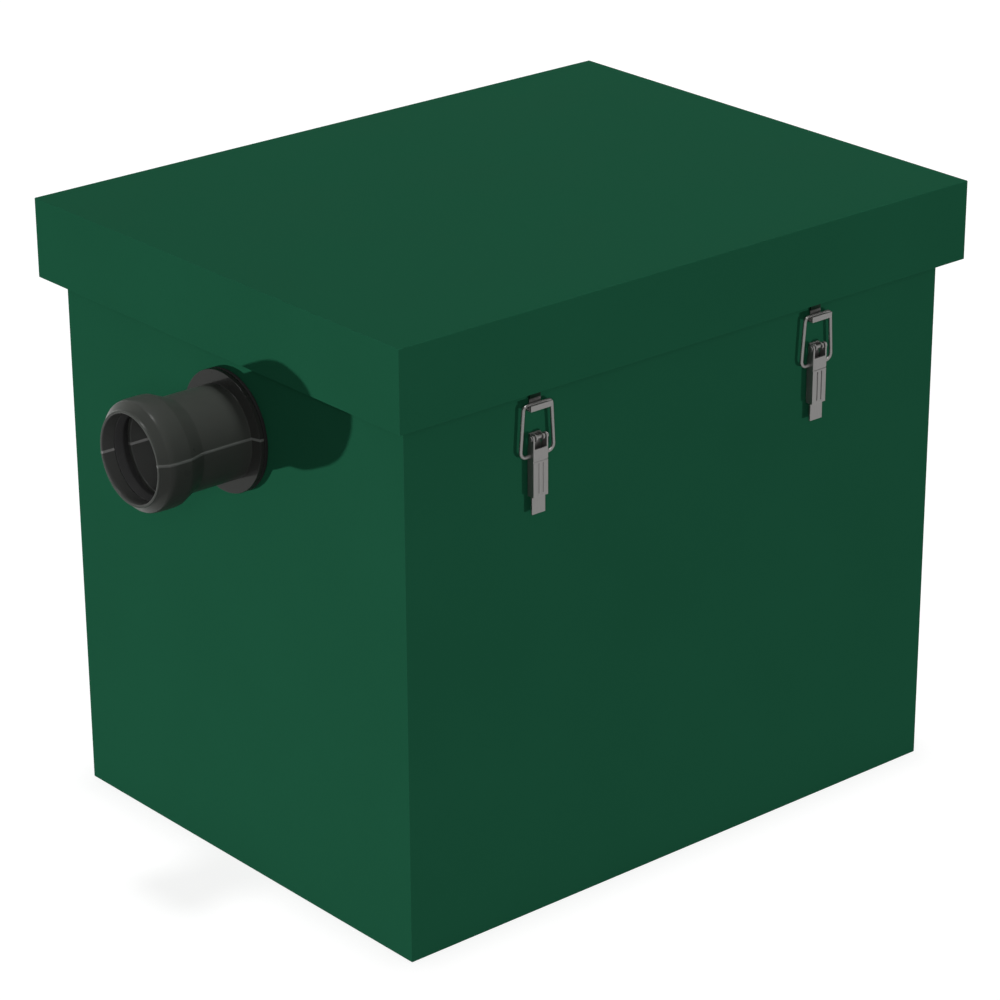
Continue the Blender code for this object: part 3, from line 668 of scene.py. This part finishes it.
def raise_parting_line(piece, centre, side):
    """Leaves a low ridge on a moulded piece where the two halves of its mould met."""
    pick_piece(piece)
    bpy.ops.object.mode_set(mode="EDIT")
    for shift in (-PARTING_WIDTH / 2, PARTING_WIDTH / 2):
        bpy.ops.mesh.select_all(action="SELECT")
        bpy.ops.mesh.bisect(plane_co=centre + PARTING_ACROSS * shift, plane_no=PARTING_ACROSS)

    def on_line(place, normal):
        proud = side * (place.x - centre.x) > PARTING_STARTS
        return proud and abs((place - centre).dot(PARTING_ACROSS)) < PARTING_WIDTH / 2

    pick_faces(piece, on_line)
    bpy.ops.mesh.inset(thickness=PARTING_SLOPE, depth=PARTING_RISE)
    bpy.ops.object.mode_set(mode="OBJECT")


def from_centre(nodes, links, centre):
    """Where a point lies, as seen from where the pipe's axis crosses the wall."""
    inputs = {0: nodes.new("ShaderNodeTexCoord").outputs["Object"], 1: centre}
    return wired(nodes, links, "ShaderNodeVectorMath", inputs, operation="SUBTRACT").outputs[0]


def parting_mask(nodes, links, centre):
    """A mask that is 1 on the line where the two halves of the mould met."""
    inputs = {0: from_centre(nodes, links, centre), 1: PARTING_ACROSS}
    off_plane = wired(nodes, links, "ShaderNodeVectorMath", inputs, operation="DOT_PRODUCT").outputs["Value"]
    distance = wired(nodes, links, "ShaderNodeMath", {0: off_plane}, operation="ABSOLUTE").outputs[0]
    return ranged(nodes, links, distance, 1.0, 0.0, *PARTING_FADE)


def flange_mask(nodes, links, centre, side):
    """A mask that is 1 from the flange's face inwards to the tank."""
    out = wired(nodes, links, "ShaderNodeSeparateXYZ", {0: from_centre(nodes, links, centre)}).outputs["X"]
    near, past = side * FLANGE_BLACK_ENDS, side * (FLANGE_BLACK_ENDS + ZONE_FADE)
    return ranged(nodes, links, out, 1.0, 0.0, near, past)


def bore_painted_light_mask(nodes, links, centre):
    """A mask that is 1 on the wall of the bore, where light is painted on."""
    inputs = {0: from_centre(nodes, links, centre), 1: (0, 1, 1)}
    across = wired(nodes, links, "ShaderNodeVectorMath", inputs, operation="MULTIPLY").outputs[0]
    radius = wired(nodes, links, "ShaderNodeVectorMath", {0: across}, operation="LENGTH").outputs["Value"]
    return ranged(nodes, links, radius, 1.0, 0.0, BORE_PAINTED_LIGHT_ENDS, BORE_PAINTED_LIGHT_ENDS + ZONE_FADE)


def moulded_black_material(name, centre, side):
    """Satin black moulded plastic: darker on the flange, greyer in the bore as painted light, painted pale
    on its edges as a highlight, and pale on the parting line.
    """
    material, nodes, links, shader = new_finish(name)
    skin = placed_group(nodes, uneven_surface, Cloud_Scale=45.0, Grain_Scale=1600.0, Grain_Height=0.5)
    wear_and_highlight = placed_group(nodes, edge_wear_and_highlight, Width=0.0008, Amount=1.0, Break_Scale=300.0)
    tone = ranged(nodes, links, skin.outputs["Cloud"], 0.0, 1.0)
    bore = bore_painted_light_mask(nodes, links, centre)
    colour = blended(nodes, links, tone, BLACK_PIPE_DARK, BLACK_PIPE)
    # The bore is painted greyer, as painted light.
    colour = blended(nodes, links, bore, colour, BORE_PAINTED_LIGHT)
    # Edges such as the mouth's lip ring are painted paler as a highlight.
    colour = blended(nodes, links, wear_and_highlight.outputs["Mask"], colour, BLACK_PIPE_PALE_AND_HIGHLIGHT)
    colour = blended(nodes, links, flange_mask(nodes, links, centre, side), colour, FLANGE_BLACK)
    # On the parting line in the bore the pale is stronger, within the bore's painted light.
    line = blended(nodes, links, bore, BLACK_PIPE_PALE_AND_HIGHLIGHT, BORE_LINE)
    colour = blended(nodes, links, parting_mask(nodes, links, centre), colour, line)
    rough = ranged(nodes, links, skin.outputs["Cloud"], *BLACK_PIPE_ROUGHNESS)
    links.new(colour, shader.inputs["Base Color"])
    links.new(rough, shader.inputs["Roughness"])
    links.new(bumped(nodes, links, skin.outputs["Height"], BLACK_PIPE_GRAIN), shader.inputs["Normal"])
    shader.inputs["Specular IOR Level"].default_value = BLACK_PIPE_SPECULAR
    return material


def rubber_material(name, tones):
    """Dull rubber with a fine moulded grain between two tones, and the third painted along edges as a
    highlight.
    """
    dark, light, painted_highlight_tone = tones
    material, nodes, links, shader = new_finish(name)
    skin = placed_group(nodes, uneven_surface, Cloud_Scale=60.0, Grain_Scale=2200.0, Grain_Height=0.6)
    edge_highlight = placed_group(nodes, edge_wear_and_highlight, Width=0.0006, Amount=1.0, Break_Scale=400.0)
    tone = ranged(nodes, links, skin.outputs["Cloud"], 0.0, 1.0)
    colour = blended(nodes, links, tone, dark, light)
    # Edges are painted in the third tone as a highlight.
    colour = blended(nodes, links, edge_highlight.outputs["Mask"], colour, painted_highlight_tone)
    links.new(colour, shader.inputs["Base Color"])
    links.new(ranged(nodes, links, skin.outputs["Grain"], *RUBBER_ROUGHNESS), shader.inputs["Roughness"])
    links.new(bumped(nodes, links, skin.outputs["Height"], RUBBER_GRAIN), shader.inputs["Normal"])
    shader.inputs["Specular IOR Level"].default_value = RUBBER_SPECULAR
    return material


socket_section = NOSE_SECTION + bead_shoulder() + BODY_SECTION + threaded_spigot() + BORE_SECTION
seal_rubber = rubber_material("seal_rubber", SEAL_TONES)
washer_rubber = rubber_material("washer_rubber", WASHER_TONES)
black_pipe = {}
for end in PIPE_ENDS:
    centre, side = pipe_axis(end)
    black_pipe[end] = moulded_black_material(end + "_black_pipe", centre, side)
    socket = turned_piece(socket_section, centre, side)
    soften_edges(socket, PIPE_ROUNDING, angle=PIPE_CORNER_ANGLE)
    raise_parting_line(socket, centre, side)
    settle_shading(socket, PIPE_CORNER_ANGLE)
    dress(socket, end + "_pipe_socket", black_pipe[end], "tank", "black_pipe", end + "_socket")
    seal = turned_piece(SEAL_SECTION, centre, side)
    soften_edges(seal, PIPE_ROUNDING, angle=PIPE_CORNER_ANGLE)
    dress(seal, end + "_seal_ring", seal_rubber, "tank", "seal_rubber", end + "_lip_seal")
    washer = turned_piece(WASHER_SECTION, centre, side)
    soften_edges(washer, PIPE_ROUNDING, angle=PIPE_CORNER_ANGLE)
    dress(washer, end + "_wall_washer", washer_rubber, "tank", "seal_rubber", end + "_wall_gasket")


# Back nuts
# A six-sided nut of the same black plastic holds each socket to its wall from the inside. Its corners
# are rounded off, and its bore clears the thread.
NUT_SIDES = 6
NUT_ACROSS_FLATS = 0.068
NUT_BORE_RADIUS = 0.0279
NUT_CORNER_ROUNDING = 0.0008

for end in PIPE_ENDS:
    low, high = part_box(end + "_back_nut")
    centre, side = pipe_axis(end)
    middle = Vector(((low.x + high.x) / 2, centre.y, centre.z))
    bpy.ops.object.select_all(action="DESELECT")
    bpy.ops.mesh.primitive_cylinder_add(
        vertices=NUT_SIDES, radius=NUT_ACROSS_FLATS / math.sqrt(3), depth=high.x - low.x,
        location=middle, rotation=(0, math.pi / 2, 0),
    )
    nut = at_origin()
    drill(nut, middle, NUT_BORE_RADIUS, PIPE_SIDES)
    soften_edges(nut, NUT_CORNER_ROUNDING, segments=3)
    dress(nut, end + "_nut", black_pipe[end], "tank", "black_pipe", end + "_back_nut")


# Lid
# A flat plate with four skirt strips welded under its edge, planed flush outside. It only rests on the
# tank's gasket, and the four latches hold it down. One piece stands for the plate and the strips.
lid_low = Vector((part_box("inlet_skirt")[0].x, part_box("front_skirt")[0].y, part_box("front_skirt")[0].z))
lid_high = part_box("lid_plate")[1]
lid_shell = hollow_box(lid_low, lid_high, SHEET, mouth_up=False)
soften_edges(lid_shell, EDGE_ROUNDING)
dress(
    lid_shell, "lid_shell", green_sheet, "tank", "green_sheet",
    "lid_plate", "front_skirt", "rear_skirt", "inlet_skirt", "outlet_skirt",
)
gasket_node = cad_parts["lid_gasket"]
gasket_node.data.materials.clear()
gasket_node.data.materials.append(seal_rubber)


# Toggle latches
# Each is a stainless toggle latch: a base plate with two ears on the wall, a channel-shaped lever on a
# pin through the ears, a wire bail in the lever's sides, and a hook on the lid's skirt for the bail.
LATCH_NAMES = ("front_inlet", "front_outlet", "rear_inlet", "rear_outlet")
FOLD_ROUNDING = 0.00022
WIRE_RADIUS = 0.0010
WIRE_SIDES = 20
WIRE_BEND_STEPS = 8
WIRE_END = 0.0036
WIRE_FOOT = 0.0119
WIRE_HEAD = 0.0099
FOOT_BEND = 0.0038
HEAD_BEND = 0.0024
KEEPER_UPPER_OUT = 0.0050
RIVET_RADIUS = 0.0016
RIVET_HEIGHT = 0.0012
RIVET_ROUNDING = 0.0004
RIVET_SIDES = 24
RIVET_SPREAD = 0.0084
RIVET_BELOW_TOP = 0.0042
STEEL = (0.240, 0.236, 0.230, 1.0)
STEEL_DARK = (0.205, 0.202, 0.198, 1.0)
STEEL_WORN = (0.330, 0.325, 0.318, 1.0)
# Painted shade: a dark green that stands for the shadow on the keeper's neck under the skirt
STEEL_PAINTED_SHADE = (0.005, 0.017, 0.010, 1.0)
STEEL_ROUGHNESS = (0.38, 0.52)
STEEL_GRAIN = 0.00002
ROLLED_UP = (1.0, 1.0, 0.06)
ROLLED_ALONG = (0.06, 1.0, 1.0)
HOOK_HEIGHT = 0.0042
PAINTED_SHADE_FADE = 0.0012


def stainless_material(name, stretch, painted_shade_above=None):
    """Satin stainless steel with fine rolling lines along one direction, and a painted dark green shade
    above a height, if one is given.
    """
    material, nodes, links, shader = new_finish(name)
    lines = placed_group(
        nodes, uneven_surface, Cloud_Scale=120.0, Grain_Scale=2500.0, Grain_Height=0.4, Stretch=stretch
    )
    wear_and_highlight = placed_group(nodes, edge_wear_and_highlight, Width=0.0004, Amount=0.7, Break_Scale=900.0)
    tone = ranged(nodes, links, lines.outputs["Grain"], 0.0, 1.0)
    colour = blended(nodes, links, tone, STEEL_DARK, STEEL)
    colour = blended(nodes, links, wear_and_highlight.outputs["Mask"], colour, STEEL_WORN)
    # Above the given height the colour is painted shade, not a finish of the steel.
    if painted_shade_above is not None:
        place = nodes.new("ShaderNodeTexCoord").outputs["Object"]
        height = wired(nodes, links, "ShaderNodeSeparateXYZ", {0: place}).outputs["Z"]
        painted_shade = ranged(nodes, links, height, 0.0, 1.0, painted_shade_above, painted_shade_above + PAINTED_SHADE_FADE)
        colour = blended(nodes, links, painted_shade, colour, STEEL_PAINTED_SHADE)
    links.new(colour, shader.inputs["Base Color"])
    links.new(ranged(nodes, links, lines.outputs["Grain"], *STEEL_ROUGHNESS), shader.inputs["Roughness"])
    links.new(bumped(nodes, links, lines.outputs["Height"], STEEL_GRAIN), shader.inputs["Normal"])
    shader.inputs["Metallic"].default_value = 1.0
    return material


def bent_wire(corners, bends):
    """Draws a ring of points along a line in the XZ plane and swings it round each inner corner."""
    bpy.ops.object.select_all(action="DESELECT")
    bpy.ops.mesh.primitive_circle_add(
        vertices=WIRE_SIDES, radius=WIRE_RADIUS, location=corners[0], rotation=(0, math.pi / 2, 0)
    )
    wire = at_origin()
    bpy.ops.object.mode_set(mode="EDIT")
    bpy.ops.mesh.select_all(action="SELECT")
    here = corners[0]
    for before, corner, after, bend in zip(corners, corners[1:], corners[2:], bends):
        back = (before - corner).normalized()
        ahead = (after - corner).normalized()
        half = back.angle(ahead) / 2
        reach = bend / math.tan(half)
        centre = corner + (back + ahead).normalized() * (bend / math.sin(half))
        run = corner + back * reach - here
        bpy.ops.mesh.extrude_region_move(TRANSFORM_OT_translate={"value": run})
        bpy.ops.mesh.spin(
            steps=WIRE_BEND_STEPS, angle=math.pi - 2 * half, center=centre,
            axis=back.cross(ahead).normalized(),
        )
        here = corner + ahead * reach
    bpy.ops.mesh.extrude_region_move(TRANSFORM_OT_translate={"value": corners[-1] - here})
    bpy.ops.mesh.select_all(action="SELECT")
    bpy.ops.mesh.remove_doubles(threshold=MERGE_DISTANCE)
    bpy.ops.mesh.fill_holes(sides=0)
    bpy.ops.mesh.select_all(action="SELECT")
    bpy.ops.mesh.normals_make_consistent(inside=False)
    bpy.ops.object.mode_set(mode="OBJECT")
    bpy.ops.object.shade_smooth_by_angle(angle=math.radians(ROUND_WITHIN))
    return wire


def bail_wire(low, high, out):
    """A bail's wire in the box of its CAD node, bent upright and then leaned out to its bar."""
    near, far = (high.y, low.y) if out < 0 else (low.y, high.y)
    foot = Vector(((low.x + high.x) / 2, near + out * WIRE_RADIUS, low.z + WIRE_RADIUS))
    bar_out = far - out * WIRE_RADIUS - foot.y
    bar_up = high.z - WIRE_RADIUS - foot.z
    half_line = ((WIRE_END, 0), (WIRE_FOOT, 0), (WIRE_HEAD, math.hypot(bar_out, bar_up)))
    corners = [foot + Vector((-across, 0, up)) for across, up in half_line]
    corners += [foot + Vector((across, 0, up)) for across, up in reversed(half_line)]
    wire = bent_wire(corners, (FOOT_BEND, HEAD_BEND, HEAD_BEND, FOOT_BEND))
    lean = math.atan2(bar_out, bar_up)
    bpy.ops.object.mode_set(mode="EDIT")
    bpy.ops.mesh.select_all(action="SELECT")
    bpy.ops.transform.rotate(value=lean, orient_axis="X", center_override=foot)
    bpy.ops.object.mode_set(mode="OBJECT")
    return wire


def keeper_rivet(middle):
    """A low round rivet head with its axis along Y."""
    bpy.ops.object.select_all(action="DESELECT")
    bpy.ops.mesh.primitive_cylinder_add(
        vertices=RIVET_SIDES, radius=RIVET_RADIUS, depth=RIVET_HEIGHT, location=middle,
        rotation=(math.pi / 2, 0, 0),
    )
    rivet = at_origin()
    soften_edges(rivet, RIVET_ROUNDING, segments=3)
    return rivet


brushed_up = stainless_material("stainless_brushed_up", ROLLED_UP)
brushed_along = stainless_material("stainless_brushed_along", ROLLED_ALONG)
# The keeper's neck above its hook is painted with shade, as if in the skirt's shadow.
hook_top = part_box("front_inlet_latch_keeper")[0].z + HOOK_HEIGHT
keeper_steel = stainless_material("stainless_keeper", ROLLED_ALONG, hook_top)
for latch in LATCH_NAMES:
    for part, body, material in (
        ("base", "tank", brushed_up),
        ("pin", "tank", brushed_along),
        ("keeper", "tank", keeper_steel),
        ("lever", latch + "_lever", brushed_up),
    ):
        node_name = latch + "_latch_" + part
        piece = copy_of_node(node_name)
        soften_edges(piece, FOLD_ROUNDING)
        dress(piece, latch + "_" + part, material, body, "stainless_steel", node_name)
    out, wall = (-1, tank_low.y) if latch.startswith("front") else (1, tank_high.y)
    node_name = latch + "_latch_bail"
    wire = bail_wire(*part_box(node_name), out)
    dress(wire, latch + "_wire", brushed_along, latch + "_bail", "stainless_steel", node_name)
    low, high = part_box(latch + "_latch_keeper")
    middle = Vector(((low.x + high.x) / 2, wall + out * KEEPER_UPPER_OUT, high.z - RIVET_BELOW_TOP))
    for end, way in (("left", -1), ("right", 1)):
        rivet = keeper_rivet(middle + Vector((way * RIVET_SPREAD / 2, 0, 0)))
        dress(rivet, latch + "_keeper_rivet_" + end, brushed_along, "tank", "stainless_steel")


bpy.context.scene.view_settings.view_transform = "Standard"
